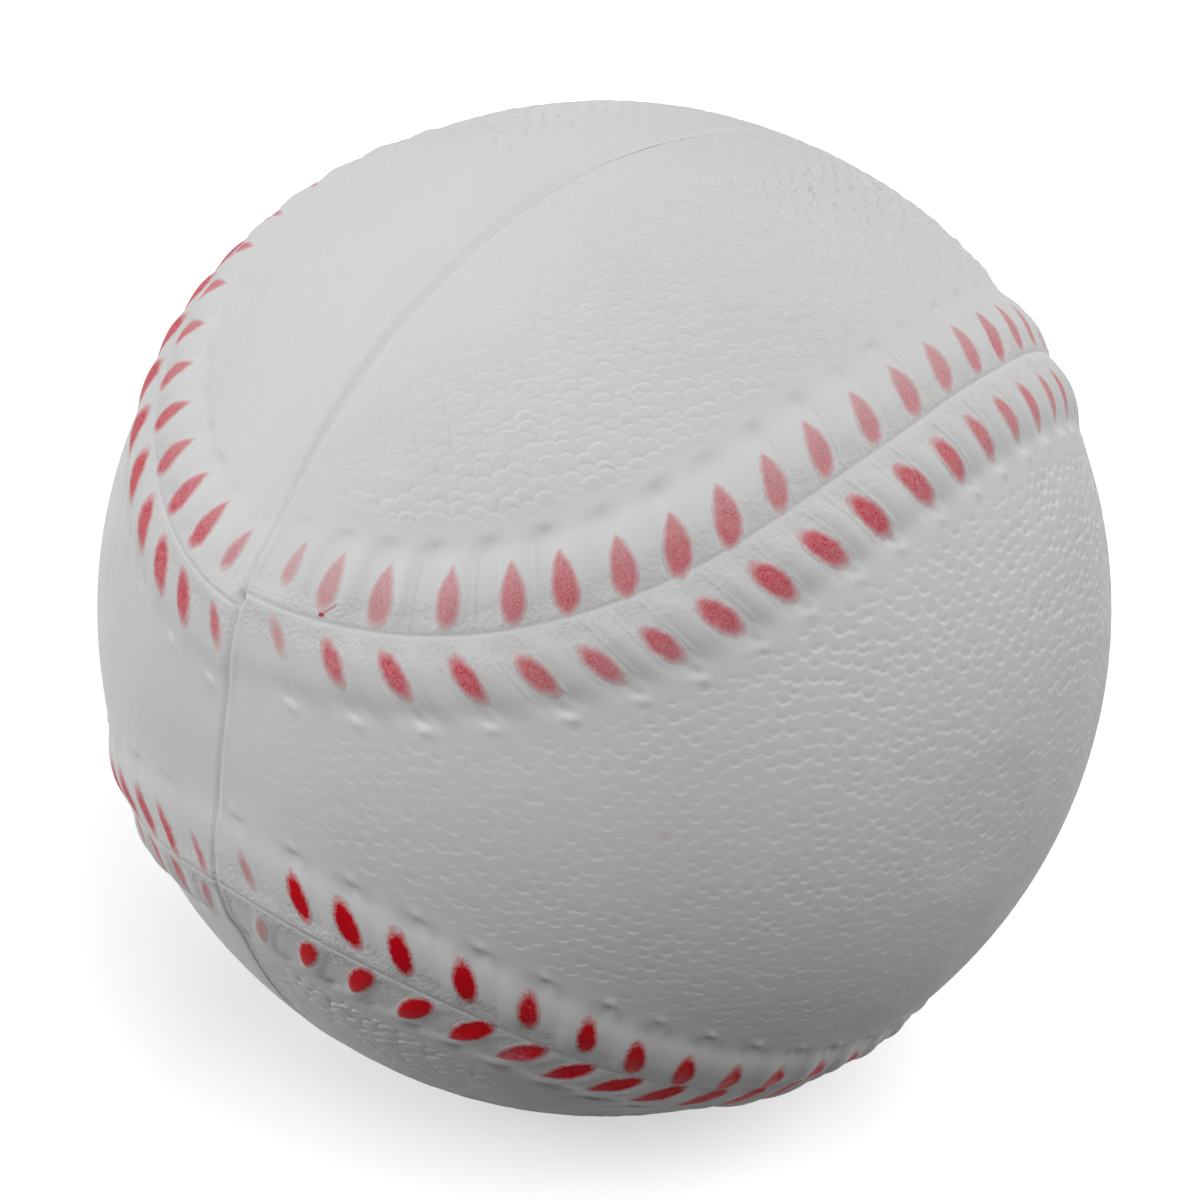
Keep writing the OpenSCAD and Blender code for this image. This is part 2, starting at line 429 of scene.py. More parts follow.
def lips(half, along, off):
    """Height of the two round lips, whose crossing is the valley. They are softer by the parting line."""
    s = row_place(along)
    centre = BALL_R + LIP_H - LIP_R
    angle = (np.hypot(off, VALLEY_ROUND * VALLEY_ROUND_SHARE(s)) - LIP_OFF) / BALL_R
    inside = np.clip(LIP_R**2 - (centre * np.sin(angle)) ** 2, 0, None)
    h = centre * np.cos(angle) + np.sqrt(inside) - BALL_R
    blur = BLUR_SHARE(s)
    soft = FOOT_SOFT * (1 + BLUR_SOFT_SHARE * blur + smooth(0, LIP_OFF, off) * SIDE_FOOT_SHARE(s))
    h = (1 - BLUR_SINK_SHARE * blur) * (h + np.sqrt(h * h + soft**2)) / 2
    low_front = (along > QUARTER) & (half == FRONT)
    reach = np.where(low_front, VALLEY_FILL_LOW_REACH, VALLEY_FILL_REACH[half])
    filled = 1 - smooth(VALLEY_FILL_FULL_SHARE * reach, reach, s)
    return h + VALLEY_FILL * filled * bell(off, VALLEY_FILL_W)


def lean(row, s, low_share):
    """Lean of the stitches, in radians."""
    return np.radians(LEAN[row](s) + LOW_LEAN[row](s) * low_share)


def drift(row, s):
    """How far the mould's channels lie along the seam from the marks' regular places."""
    return DRIFT[row](s) * SEEN_SHARE(s) * MM


def row_chance(first_seed, half, row, kinds):
    """Even random numbers from -1 to 1, one of each kind for every stitch of a row."""
    rng = np.random.default_rng(first_seed + ROW_SEED_STEP * half + row)
    return rng.uniform(-1, 1, (kinds, 2 * QUARTER_STITCHES))


def band(rising, falling, x):
    """1 between two steps, each given by its start and end, and 0 outside them."""
    return smooth(*rising, x) * (1 - smooth(*falling, x))


def row_stitches(half, row, along, off):
    """Channels, pillows and holes of one row, at distances off the valley."""
    s = row_place(along)
    low = along > QUARTER
    turn = lean(row, s, low * SEEN_SHARE(s))
    way = np.where(low, -1, 1)
    run = along + half * (off - LIP_OFF) * np.tan(turn) - way * drift(row, s) - FIRST_STITCH
    k = np.clip(np.rint(run / PITCH), 0, 2 * QUARTER_STITCHES - 1).astype(int)
    shake, strength = row_chance(STITCH_SEED, half, row, 2)[:, k]
    gap = (run - k * PITCH - STITCH_SHAKE * shake) * np.cos(turn)
    strength = STITCH_STRENGTH_SHARE + STITCH_STRENGTH_SHAKE_SHARE * strength
    by_parting = STITCH_PARTING_SHARE(s)

    pillow_half_w = PITCH / 2 * np.cos(turn) - CHANNEL_HALF_W
    up_pillow = np.clip((np.abs(gap) - CHANNEL_HALF_W) / pillow_half_w, 0, 1)
    relief = -PILLOW_H * (1 - up_pillow) ** 2 * band(PILLOW_IN, PILLOW_OUT, off) * by_parting

    line = bell(np.abs(gap) - CHANNEL_HALF_W, EDGE_LINE_W) * band(EDGE_LINE_IN, EDGE_LINE_OUT, off)
    relief += EDGE_LINE_H * line * strength * EDGE_LINE_SHARE(s) * np.where(low, EDGE_LINE_LOW_SHARE, 1)

    beyond = off - HOLE_OFF
    if (half, row) == (FRONT, SIDE):
        beyond = beyond - HOLE_SHIFT(s) * MM
    long = np.where(beyond < 0, HOLE_INNER_L, HOLE_OUTER_L[row])
    hole = HOLE_DEEP * bell(beyond, long)
    pip = PIP_H[row] * bell(beyond - PIP_OFF, PIP_L)
    return relief + (pip - hole) * bell(gap, HOLE_HALF_W[row]) * strength * by_parting


def stitches(half, along, off):
    """Relief of both rows."""
    h = np.zeros_like(off)
    for row in (CAP, SIDE):
        on_row = off * row > 0
        h[on_row] = row_stitches(half, row, along[on_row], np.abs(off[on_row]))
    return h


def grain_centres():
    """Nearly even places all over the ball, a grain's pitch apart and shaken a little."""
    count = int(4 * math.pi * BALL_R**2 / (GRAIN_PITCH**2 * math.sqrt(3) / 2))
    k = np.arange(count)
    y = 1 - (2 * k + 1) / count
    turn = k * math.pi * (3 - math.sqrt(5))
    r = np.sqrt(1 - y * y)
    even = np.stack([r * np.cos(turn), y, r * np.sin(turn)], 1)
    rng = np.random.default_rng(GRAIN_SEED)
    return unit(even + rng.normal(0, GRAIN_SHAKE_SHARE * GRAIN_PITCH / BALL_R, even.shape))


def soft_noise(p):
    """A slow random field over the ball, about -1 to 1."""
    rng = np.random.default_rng(CLOUD_SEED)
    ways = unit(rng.normal(size=(CLOUD_WAVES, 3)))
    ways = ways * rng.uniform(*CLOUD_WAVE_SHARES, (CLOUD_WAVES, 1)) * CLOUD_SCALE
    return np.sin(p @ ways.T + rng.uniform(0, 2 * math.pi, CLOUD_WAVES)).sum(1) / math.sqrt(CLOUD_WAVES)


CENTRES = grain_centres()
CENTRE_STRENGTH = np.random.default_rng(GRAIN_STRENGTH_SEED).uniform(*GRAIN_STRENGTH_SHARES, len(CENTRES))
CENTRE_SIZE = np.random.default_rng(GRAIN_SIZE_SEED).uniform(*GRAIN_SIZE_SHARES, len(CENTRES))


def grain_tree():
    tree = KDTree(len(CENTRES))
    for i, c in enumerate(CENTRES):
        tree.insert(c, i)
    tree.balance()
    return tree


TREE = grain_tree()


def grain_weight(p, off):
    """Share of the full grain: less by the seam, by the parting line and on the rear half."""
    x, y, z = p[:, 0], p[:, 1], p[:, 2]
    on_side = off > 0
    parting = BALL_R * np.abs(np.arcsin(np.clip(y, -1, 1))) / MM
    right = RIGHT_SHARE(x)
    side_share = SIDE_X_SHARE(x) + SIDE_MIDDLE_SHARE(z) * right + SIDE_TOP_SHARE(z) * (1 + right)
    side_share *= GRAIN_PARTING_SHARE[SIDE](parting)
    cap_share = CAP_X_SHARE(x) * CAP_Z_SHARE(z) * GRAIN_PARTING_SHARE[CAP](parting)
    weight = smooth(*GRAIN_OFF, np.abs(off)) * np.where(on_side, side_share, cap_share)
    middle, swing = GRAIN_CLOUD_SHARES
    weight *= np.clip(middle + swing * soft_noise(p), *GRAIN_CLOUD_LIMIT_SHARES)
    rear_share = np.where(on_side, GRAIN_REAR_SHARE[SIDE], GRAIN_REAR_SHARE[CAP])
    return np.where(y > 0, rear_share * weight, weight)


def pole_share(p):
    """1 at the six points where the ball touches its box, and 0 a little way off."""
    return smooth(*POLE_SHARES, np.abs(p).max(1))


def grain(p, off):
    """Overlapping scales: raised towards the top on the cap panel, sunk towards the foot on the side one."""
    weight = grain_weight(p, off)
    h = np.zeros(len(p))
    todo = np.flatnonzero(weight > GRAIN_LEAST_SHARE)
    near = np.array([[hit[1] for hit in TREE.find_n(v, GRAIN_NEIGHBOURS)] for v in p[todo]])
    q = p[todo]
    side = off[todo] > 0
    way = np.where(side, -1, 1)
    power = np.where(side, GRAIN_POWER[SIDE], GRAIN_POWER[CAP])
    scale, groove = np.zeros(len(q)), np.zeros(len(q))
    for which in near.T:
        c = CENTRES[which]
        up = unit(np.array([0, 0, 1]) - c * c[:, 2:3] + NO_ZERO)
        r = CENTRE_SIZE[which] * np.where(side, GRAIN_R[SIDE], GRAIN_R[CAP])
        step = (q - c) * BALL_R
        d = np.linalg.norm(step, axis=1) / r
        t = way * np.einsum("ij,ij->i", step, up) / r
        inside = 1 - smooth(1 - GRAIN_EDGE_SHARE / 2, 1 + GRAIN_EDGE_SHARE / 2, d)
        rise = np.clip((1 + t) / 2, 0, 1) ** power
        raised = GRAIN_LOW_SHARE + (1 - GRAIN_LOW_SHARE) * rise
        scale = np.maximum(scale, CENTRE_STRENGTH[which] * raised * inside)
        groove = np.maximum(groove, bell(d - GRAIN_GROOVE_AT_SHARE, GRAIN_GROOVE_W_SHARE) * rise**2)
    h[todo] = weight[todo] * (way * GRAIN_H * scale - (way > 0) * GRAIN_GROOVE * groove)
    return h - pole_share(p) * weight * GRAIN_H * CENTRE_STRENGTH.max()


def parting_line(p):
    """A soft groove with a low bead on its front side, and a nick where the seam meets it at the left."""
    y = p[:, 1] * BALL_R
    wide = PARTING_TOP_SHARE(p[:, 2])
    groove = -PARTING_DEEP * wide * bell(y, PARTING_GROOVE_W * wide)
    bead = PARTING_BEAD_H * bell(y - PARTING_BEAD_AT, PARTING_BEAD_W)
    at_seam = END_ARC.place(np.zeros(1), np.zeros(1))[0]
    nick = -NICK_DEEP * bell(np.linalg.norm(p - at_seam, axis=1) * BALL_R, NICK_R)
    return groove + bead + nick


def seam_height(p, half):
    along, off = seam_coordinates(p, half)
    return lips(half, along, off) + stitches(half, along, off)


def height(p, half):
    """Height of the skin over the plain ball. Where the mould's halves meet, it is their mean."""
    h = seam_height(p, half)
    own = (1 + smooth(0, MISMATCH_W, np.abs(p[:, 1]) * BALL_R)) / 2
    near = own < 1
    h[near] = own[near] * h[near] + (1 - own[near]) * seam_height(p[near], -half)
    h += parting_line(p) + grain(p, seam_coordinates(p, half)[1])
    h -= POLE_SINK * pole_share(p)
    return np.minimum(h, (BOX_SHARE / np.abs(p).max(1) - 1) * BALL_R)


def grid_faces(rows, columns):
    """Quads of a grid of points that is stored row by row."""
    i, j = np.meshgrid(np.arange(rows), np.arange(columns), indexing="ij")
    a = (i * (columns + 1) + j).ravel()
    return np.stack([a, a + 1, a + columns + 2, a + columns + 1], 1)


def half_ball(cells, rows, half):
    """Directions, quads and flat map of half a cube grown into a ball, cut at the parting plane."""
    wide = np.tan(np.linspace(-math.pi / 4, math.pi / 4, cells + 1))
    t = np.linspace(0, 1, rows + 1)
    deep = np.tan(math.pi / 4 * (ROW_SPACING_SHARE * t + (1 - ROW_SPACING_SHARE) * t**ROW_SPACING_POWER))
    points, quads, flat = [], [], []

    def patch(a, b, build, map_corner, map_size):
        u, v = np.meshgrid(np.linspace(0, 1, len(a)), np.linspace(0, 1, len(b)), indexing="ij")
        x, y = np.meshgrid(a, b, indexing="ij")
        start = sum(len(q) for q in points)
        points.append(unit(np.stack(build(x.ravel(), y.ravel()), 1)))
        q = grid_faces(len(a) - 1, len(b) - 1)
        m = np.stack([u.ravel(), v.ravel()], 1) * (np.array(map_size) - MAP_GAP_SHARE) + map_corner
        quads.append(q + start)
        flat.append(m[q])

    def one(x):
        return np.ones_like(x)

    face, rest = FACE_MAP_SHARE, 1 - FACE_MAP_SHARE
    patch(wide, wide, lambda x, z: (x, half * one(x), z), (0, 0), (face, face))
    patch(deep, wide, lambda y, z: (one(y), half * y, z), (face, 0), (rest, face))
    patch(wide, deep, lambda x, y: (x, half * y, one(x)), (0, face), (face, rest / 2))
    patch(wide, deep, lambda x, y: (x, half * y, -one(x)), (0, face + rest / 2), (face, rest / 2))
    patch(deep, wide, lambda y, z: (-one(y), half * y, z), (face, face), (rest, rest))
    return np.concatenate(points), np.concatenate(quads), np.concatenate(flat)


def merged(points, quads):
    """The same quads over points without doubles, and which of them face inwards."""
    cell = np.round(points * MERGE_CELLS).astype(np.int64)
    _, first, where = np.unique(cell, axis=0, return_index=True, return_inverse=True)
    points, quads = points[first], where.ravel()[quads]
    a, b, c = (points[quads[:, i]] for i in range(3))
    inward = np.einsum("ij,ij->i", np.cross(b - a, c - b), a) < 0
    return points, quads, inward


def on_plane(points):
    """Which points lie on the parting plane."""
    return np.abs(points[:, 1]) < ON_PLANE


def snapped(p, quads, half):
    """Moves the points next to the seam's valley onto it, so that the valley keeps its line."""
    off = seam_coordinates(p, half)[1]
    a, b = quads.ravel(), np.roll(quads, -1, 1).ravel()
    across = (off[a] * off[b] < 0) & (np.abs(off[a]) + np.abs(off[b]) < SNAP_SPAN)
    nearer = np.where(np.abs(off[a]) < np.abs(off[b]), a, b)[across]
    on_valley = np.zeros(len(p), bool)
    on_valley[nearer] = True
    q = p[on_valley]
    ahead = [seam_coordinates(unit(q + SLOPE_STEP * axis), half)[1] for axis in np.eye(3)]
    slope = (np.stack(ahead, 1) - off[on_valley][:, None]) / SLOPE_STEP
    slope -= q * np.einsum("ij,ij->i", slope, q)[:, None]
    slope[on_plane(q), 1] = 0
    size = np.einsum("ij,ij->i", slope, slope)[:, None]
    p = p.copy()
    p[on_valley] = unit(q - slope / size * off[on_valley][:, None])
    return p, on_valley


def split_on_valley(quads, flat, on_valley):
    """Quads that the valley crosses from corner to corner become two triangles each."""
    hit = on_valley[quads]
    first = hit[:, 0] & hit[:, 2] & ~hit[:, 1] & ~hit[:, 3]
    second = hit[:, 1] & hit[:, 3] & ~hit[:, 0] & ~hit[:, 2]
    rest = ~(first | second)
    tris, tri_flat = [], []
    for which, cuts in ((first, ((0, 1, 2), (0, 2, 3))), (second, ((0, 1, 3), (1, 2, 3)))):
        for cut in cuts:
            tris.append(quads[which][:, cut])
            tri_flat.append(flat[which][:, cut])
    return quads[rest], flat[rest], np.concatenate(tris), np.concatenate(tri_flat)


def mesh_object(name, points, faces, flat, hard_faces=None, crease=None):
    """A piece from points and a list of arrays of faces, each array with its own number of corners."""
    mesh = bpy.data.meshes.new(name)
    mesh.vertices.add(len(points))
    mesh.vertices.foreach_set("co", points.astype(np.float32).ravel())
    corners = np.concatenate([f.ravel() for f in faces])
    sizes = np.concatenate([np.full(len(f), f.shape[1]) for f in faces])
    mesh.loops.add(len(corners))
    mesh.loops.foreach_set("vertex_index", corners.astype(np.int32))
    mesh.polygons.add(len(sizes))
    mesh.polygons.foreach_set("loop_start", (np.cumsum(sizes) - sizes).astype(np.int32))
    uv = mesh.uv_layers.new(name="OFBake")
    uv.data.foreach_set("uv", flat.astype(np.float32).ravel())
    mesh.update(calc_edges=True)
    smooth_faces = np.ones(len(sizes), bool)
    if hard_faces is not None:
        smooth_faces[hard_faces] = False
    mesh.polygons.foreach_set("use_smooth", smooth_faces)
    if crease is not None:
        ends = np.empty(2 * len(mesh.edges), np.int32)
        mesh.edges.foreach_get("vertices", ends)
        ends = ends.reshape(-1, 2)
        mesh.edges.foreach_set("use_edge_sharp", crease[ends[:, 0]] & crease[ends[:, 1]])
    mesh.update()
    piece = bpy.data.objects.new(name, mesh)
    bpy.context.scene.collection.objects.link(piece)
    return piece


def ring_on_plane(points):
    """The points on the parting plane, in order round the ball."""
    ring = np.flatnonzero(on_plane(points))
    return ring[np.argsort(np.arctan2(points[ring, 2], points[ring, 0]))]


def rim_faces(p, q, half):
    """Faces on the parting plane, each from several outer points to two inner ones."""
    wide_ring, tight_ring = ring_on_plane(p), ring_on_plane(q)
    count = len(tight_ring)
    step = len(wide_ring) // count
    start = np.argmin(np.linalg.norm(p[wide_ring] - q[tight_ring[0]], axis=1))
    wide_ring = np.roll(wide_ring, -start)
    i = np.arange(count)
    rim = [wide_ring[(i * step + k) % len(wide_ring)] for k in range(step + 1)]
    rim += [tight_ring[(i + 1) % count] + len(p), tight_ring[i] + len(p)]
    rim = np.stack(rim, 1)
    return rim[:, ::-1] if half == REAR else rim


def skin_half(name, half):
    """One half of the skin: the dense outer relief, the rim on the parting plane and a plain inside."""
    p, quads, flat = half_ball(FACE_CELLS, HALF_FACE_ROWS, half)
    p, quads, inward = merged(p, quads)
    quads[inward] = quads[inward][:, ::-1]
    flat[inward] = flat[inward][:, ::-1]
    p[on_plane(p), 1] = 0
    p, on_valley = snapped(p, quads, half)
    quads, flat, tris, tri_flat = split_on_valley(quads, flat, on_valley)
    outer = p * (BALL_R + height(p, half))[:, None]

    q, inner_quads, _ = half_ball(FACE_CELLS // INNER_COARSER, HALF_FACE_ROWS // INNER_COARSER, half)
    q, inner_quads, inward = merged(q, inner_quads)
    q[on_plane(q), 1] = 0
    inner_quads[~inward] = inner_quads[~inward][:, ::-1]
    rim = rim_faces(p, q, half)

    unseen = np.full((inner_quads.size + rim.size, 2), UNSEEN_MAP_SHARE)
    piece = mesh_object(
        name,
        np.concatenate([outer, q * CORE_R]),
        [quads, tris, inner_quads + len(p), rim],
        np.concatenate([flat.reshape(-1, 2), tri_flat.reshape(-1, 2), unseen]),
        crease=np.concatenate([on_valley, np.zeros(len(q), bool)]),
    )
    scuffs = band(SCUFF_IN, SCUFF_OUT, np.abs(seam_coordinates(p, half)[1]))
    point_values(piece, "rough", np.concatenate([scuffs, np.zeros(len(q))]))
    return piece


def point_values(piece, title, values):
    """Writes one number for each point of a piece, for its material to read."""
    layer = piece.data.attributes.new(title, "FLOAT", "POINT")
    layer.data.foreach_set("value", values.astype(np.float32))


def mark_shift(half, row, s, low):
    """How far the marks lie along the seam from their regular places."""
    shift = MARK_SHIFT[half, row](s)
    if half == FRONT:
        shift = np.where(low, LOW_MARK_SHIFT[row](s), shift)
    return shift * SEEN_SHARE(s) * MM


def mark_off(half, row, s, low, chance):
    """Distance of the marks' middles off the valley."""
    first = np.where(low, LOW_FIRST_MARK_OFF[half, row], FIRST_MARK_OFF[half, row])
    off = MARK_OFF[row](s) + first * np.exp(-s / FIRST_MARK_REACH[row]) + OFF_SHAKE * chance
    off += LOW_MARK_OFF[row](s) * low * SEEN_SHARE(s)
    if half == REAR:
        off += REAR_MARK_OFF[row](s)
    return off * MM


def mark_size(half, row, s, low, length_chance, width_chance):
    """Length and width of the marks' paint."""
    low_share = low * SEEN_SHARE(s)
    length = (MARK_L[row](s) + LENGTH_SHAKE * length_chance) * FIRST_MARK_L_SHARE(s)
    length *= 1 + LOW_MARK_L_SHARE[row] * low_share
    width = (MARK_W[row](s) + WIDTH_SHAKE[row] * width_chance) * FIRST_MARK_W_SHARE(s)
    width *= 1 + LOW_MARK_W_SHARE * low_share
    if half == REAR:
        length *= REAR_MARK_L_SHARE
        width *= np.where(low, REAR_LOW_MARK_W_SHARE, REAR_MARK_W_SHARE[row])
    return length * MM, width * MM


def mark_strength(half, row, s, low, chance):
    strength = MARK_STRENGTH[half, row](s)
    if half == FRONT:
        strength += (THICK_STRENGTH(s) - strength) * low * SEEN_SHARE(s)
    return strength + STRENGTH_SHAKE * chance


def leaf_share(t, row):
    """Half width of a mark at a share of its length, round at the inner end and pointed outside."""
    widest = WIDEST_SHARE[row]
    inner = np.sqrt(np.clip(1 - ((widest - t) / widest) ** 2, 0, 1))
    outward = np.clip((t - widest) / (1 - widest), 0, 1)
    return np.where(t < widest, inner, (1 - outward * outward) ** POINT_POWER[row])


def leaf_depth(t, c, share, row):
    """How far inside a leaf's edge a point lies, as a share of the leaf's half width."""
    widest = WIDEST_SHARE[row]
    end = np.where(t < widest, (widest - t) / widest, (t - widest) / (1 - widest))
    pointed = (row == CAP) & (t > widest)
    return np.where(pointed, (1 - np.abs(c)) * share, 1 - np.hypot(end, c * share))


def rim_of_grid(rows, columns):
    """The points round a grid, in order."""
    wide = columns + 1
    bottom = np.arange(columns)
    right = np.arange(rows) * wide + columns
    top = rows * wide + columns - np.arange(columns)
    left = (rows - np.arange(rows)) * wide
    return np.concatenate([bottom, right, top, left])


def leaf_faces():
    """Faces of a closed leaf, whose bottom points follow its top ones, and which of them are its walls."""
    size = (MARK_ROWS + 1) * (MARK_COLUMNS + 1)
    top = grid_faces(MARK_ROWS, MARK_COLUMNS)
    rim = rim_of_grid(MARK_ROWS, MARK_COLUMNS)
    after = np.roll(rim, -1)
    walls = np.stack([rim, after, after + size, rim + size], 1)
    faces = np.concatenate([top, top[:, ::-1] + size, walls[:, ::-1]])
    return faces, np.arange(len(faces)) >= 2 * len(top)


def leaf_map(k, t, c):
    """A mark's tile in the flat map for its top points, and one half a map higher for its bottom ones."""
    tile = np.array([k % MARK_TILES, k // MARK_TILES]) * MARK_TILE_SHARE
    m = np.stack([t, (c + 1) / 2], 1) * MARK_MAP_SHARE + tile + MARK_MAP_GAP_SHARE
    return np.concatenate([m, m + np.array([0, 1 / 2])])


def turned_outwards(points, faces, flats, leaf_size):
    """Turns round every leaf whose first face looks inwards."""
    a, b, d = (points[faces[:, i]] for i in range(3))
    inward = np.einsum("ij,ij->i", np.cross(b - a, d - b), a) < 0
    wrong = inward[np.arange(len(faces)) // leaf_size * leaf_size]
    faces[wrong] = faces[wrong][:, ::-1]
    flats[wrong] = flats[wrong][:, ::-1]
    return faces, flats


def row_marks(half, row):
    """Distances along and off the seam, lean, length, width and strength of every mark of a row."""
    chance = row_chance(MARK_SEED, half, row, 4)
    nth = np.arange(2 * QUARTER_STITCHES)
    low = nth >= QUARTER_STITCHES
    from_end = FIRST_STITCH + PITCH * np.minimum(nth, len(nth) - 1 - nth)
    s = from_end / MM
    shifted = from_end + mark_shift(half, row, s, low)
    along = np.where(low, 2 * QUARTER - shifted, shifted)
    turn = lean(row, s, low * SEEN_SHARE(s)) + LEAN_SHAKE * chance[1]
    length, width = mark_size(half, row, s, low, chance[2], chance[3])
    strength = mark_strength(half, row, s, low, chance[2])
    least_off = VALLEY_GAP + length / 2 * np.cos(turn)
    off = np.maximum(mark_off(half, row, s, low, chance[0]), least_off)
    return along, off, turn, length, width, strength


def marks(name, half, row, skin):
    """A row of painted marks, each a thin closed leaf on the skin and a feather wider than its paint."""
    surface = BVHTree.FromObject(skin, bpy.context.evaluated_depsgraph_get())
    t = np.linspace(END_SHARE, 1 - END_SHARE, MARK_ROWS + 1)
    c = np.linspace(-1, 1, MARK_COLUMNS + 1)
    t, c = (grid.ravel() for grid in np.meshgrid(t, c, indexing="ij"))
    share = leaf_share(t, row)
    depth_share = leaf_depth(t, c, share, row)
    inner_strength, added_strength = END_STRENGTH_SHARES[row]
    leaf, is_wall = leaf_faces()
    points, faces, flats, cover, strong = [], [], [], [], []
    for k, (along, off, turn, length, width, strength) in enumerate(zip(*row_marks(half, row))):
        full_l, full_w = length + 2 * FEATHER, width + 2 * FEATHER
        x = (t - 1 / 2) * full_l
        y = c * share * full_w / 2
        place = along - half * x * math.sin(turn) + y / math.cos(turn)
        p = on_seam(half, place, row * (off + x * math.cos(turn)))
        depth = depth_share * full_w / 2
        r = np.array([surface.ray_cast(v * 2 * BALL_R, -v)[0].length for v in map(Vector, p)])
        lift = MARK_LIFT * (smooth(0, RIM_W, depth) - RIM_SHARE)
        points += [p * (r + lift)[:, None], p * (r - MARK_SINK)[:, None]]
        faces.append(leaf + 2 * len(t) * k)
        flats.append(leaf_map(k, t, c)[leaf])
        cover.append(np.tile(np.clip(depth / (2 * FEATHER), 0, 1), 2))
        strong.append(np.tile(strength * (inner_strength + added_strength * t), 2))
    points = np.concatenate(points)
    faces, flats = turned_outwards(points, np.concatenate(faces), np.concatenate(flats), len(leaf))
    walls = np.flatnonzero(np.tile(is_wall, 2 * QUARTER_STITCHES))
    piece = mesh_object(name, points, [faces], flats.reshape(-1, 2), hard_faces=walls)
    point_values(piece, "cover", np.concatenate(cover))
    point_values(piece, "strength", np.concatenate(strong))
    return piece


class Nodes:
    """A material's node tree, with short calls to add and join nodes."""

    def __init__(self, name):
        self.material = bpy.data.materials.new(name)
        self.material.use_nodes = True
        self.tree = self.material.node_tree
        self.shader = self.tree.nodes["Principled BSDF"]
        self.place = self.add("ShaderNodeTexCoord").outputs["Object"]

    def add(self, kind, **settings):
        node = self.tree.nodes.new(kind)
        for key, value in settings.items():
            setattr(node, key, value)
        return node

    def link(self, source, target):
        self.tree.links.new(source, target)

    def noise(self, scale, detail=2.0, rough=0.5):
        node = self.add("ShaderNodeTexNoise")
        node.inputs["Scale"].default_value = scale
        node.inputs["Detail"].default_value = detail
        node.inputs["Roughness"].default_value = rough
        self.link(self.place, node.inputs["Vector"])
        return node.outputs["Fac"]

    def cells(self, scale):
        node = self.add("ShaderNodeTexVoronoi")
        node.inputs["Scale"].default_value = scale
        self.link(self.place, node.inputs["Vector"])
        return node

    def math(self, operation, *values, clamp=False):
        node = self.add("ShaderNodeMath", operation=operation, use_clamp=clamp)
        for socket, value in zip(node.inputs, values):
            if isinstance(value, (int, float)):
                socket.default_value = value
            else:
                self.link(value, socket)
        return node.outputs[0]

    def vector(self, operation, first, second=None):
        """A vector node. second is a vector, or the factor of SCALE."""
        node = self.add("ShaderNodeVectorMath", operation=operation)
        sockets = (node.inputs[0], node.inputs["Scale"] if operation == "SCALE" else node.inputs[1])
        for socket, value in zip(sockets, (first, second)):
            if isinstance(value, (Vector, float)):
                socket.default_value = value
            elif value is not None:
                self.link(value, socket)
        return node.outputs["Value" if operation in ("DOT_PRODUCT", "LENGTH") else "Vector"]

    def spread(self, value, low, high, to_low=0.0, to_high=1.0):
        node = self.add("ShaderNodeMapRange")
        for socket, v in zip(list(node.inputs)[1:5], (low, high, to_low, to_high)):
            socket.default_value = v
        self.link(value, node.inputs[0])
        return node.outputs[0]

    def mix(self, share, first, second):
        node = self.add("ShaderNodeMix", data_type="RGBA")
        for socket, value in zip((node.inputs[0], node.inputs[6], node.inputs[7]), (share, first, second)):
            if isinstance(value, tuple):
                socket.default_value = (*value, 1)
            else:
                self.link(value, socket)
        return node.outputs[2]

    def bump(self, value, distance, before=None):
        node = self.add("ShaderNodeBump")
        node.inputs["Strength"].default_value = 1
        node.inputs["Distance"].default_value = distance
        self.link(value, node.inputs["Height"])
        if before is not None:
            self.link(before, node.inputs["Normal"])
        return node.outputs["Normal"]

    def attribute(self, name):
        return self.add("ShaderNodeAttribute", attribute_name=name).outputs["Fac"]


# Colours, as linear light
WHITE = (0.70, 0.705, 0.70)
SHADED_WHITE = (0.665, 0.67, 0.663)
SPECK = (0.30, 0.29, 0.29)
RED = (0.66, 0.036, 0.072)
DARK_RED = (0.45, 0.012, 0.034)
THICK_RED = (0.62, 0.004, 0.012)
# Painted shade: the foam's cell hollows are coloured darker than the cell walls
FOAM_HOLLOW_SHADE = (0.55, 0.52, 0.44)
FOAM_WALL = (0.8, 0.77, 0.68)

# Noise is scale, detail and, where it isn't the usual half, roughness. A spread is its range in and out
SKIN_CLOUDS = (60, 3)
SKIN_CLOUD_SPREAD = (0.35, 0.7)
SPECK_SCALE = 480
SPECK_R_SHARE = 0.065
SPECK_CHANCE = 0.07
SPECK_STRENGTH = 0.6
FINE_TOOTH = (5200, 2)
FINE_TOOTH_DEEP = 0.009 * MM
TOOTH = (900, 3)
TOOTH_DEEP = 0.024 * MM
SCUFFS = (2600, 3, 0.6)
SCUFF_DEEP = 0.13 * MM
SHEEN_CLOUDS = (400, 2)
ROUGHNESS_SPREAD = (0.3, 0.7, 0.46, 0.56)
SKIN_SPECULAR = 0.1
PAINT_SPECULAR = 0.05
PAINT_GRAINS = (6200, 2, 0.6)
PAINT_CLUMPS = (2100, 2)
RAGGED_BY_GRAINS = (0.25, 0.75, -0.3, 0.3)
RAGGED_BY_CLUMPS = (0.3, 0.7, -0.12, 0.12)
PAINT_EDGE_SPREAD = (0.08, 0.92)
PAINT_GRAIN_SPREAD = (0.3, 0.7, 1.18, 0.78)
DARK_PAINT_SPREAD = (0.34, 0.5)
THICK_PAINT_SPREAD = (0.9, 1.05)
FOAM_SCALE = 1600
FOAM_DEEP = 0.15 * MM
# Range of cell distance over which the painted shade in the foam's hollows fades to the wall colour
FOAM_SPREAD = (0, 0.7)
FOAM_ROUGHNESS = 0.9

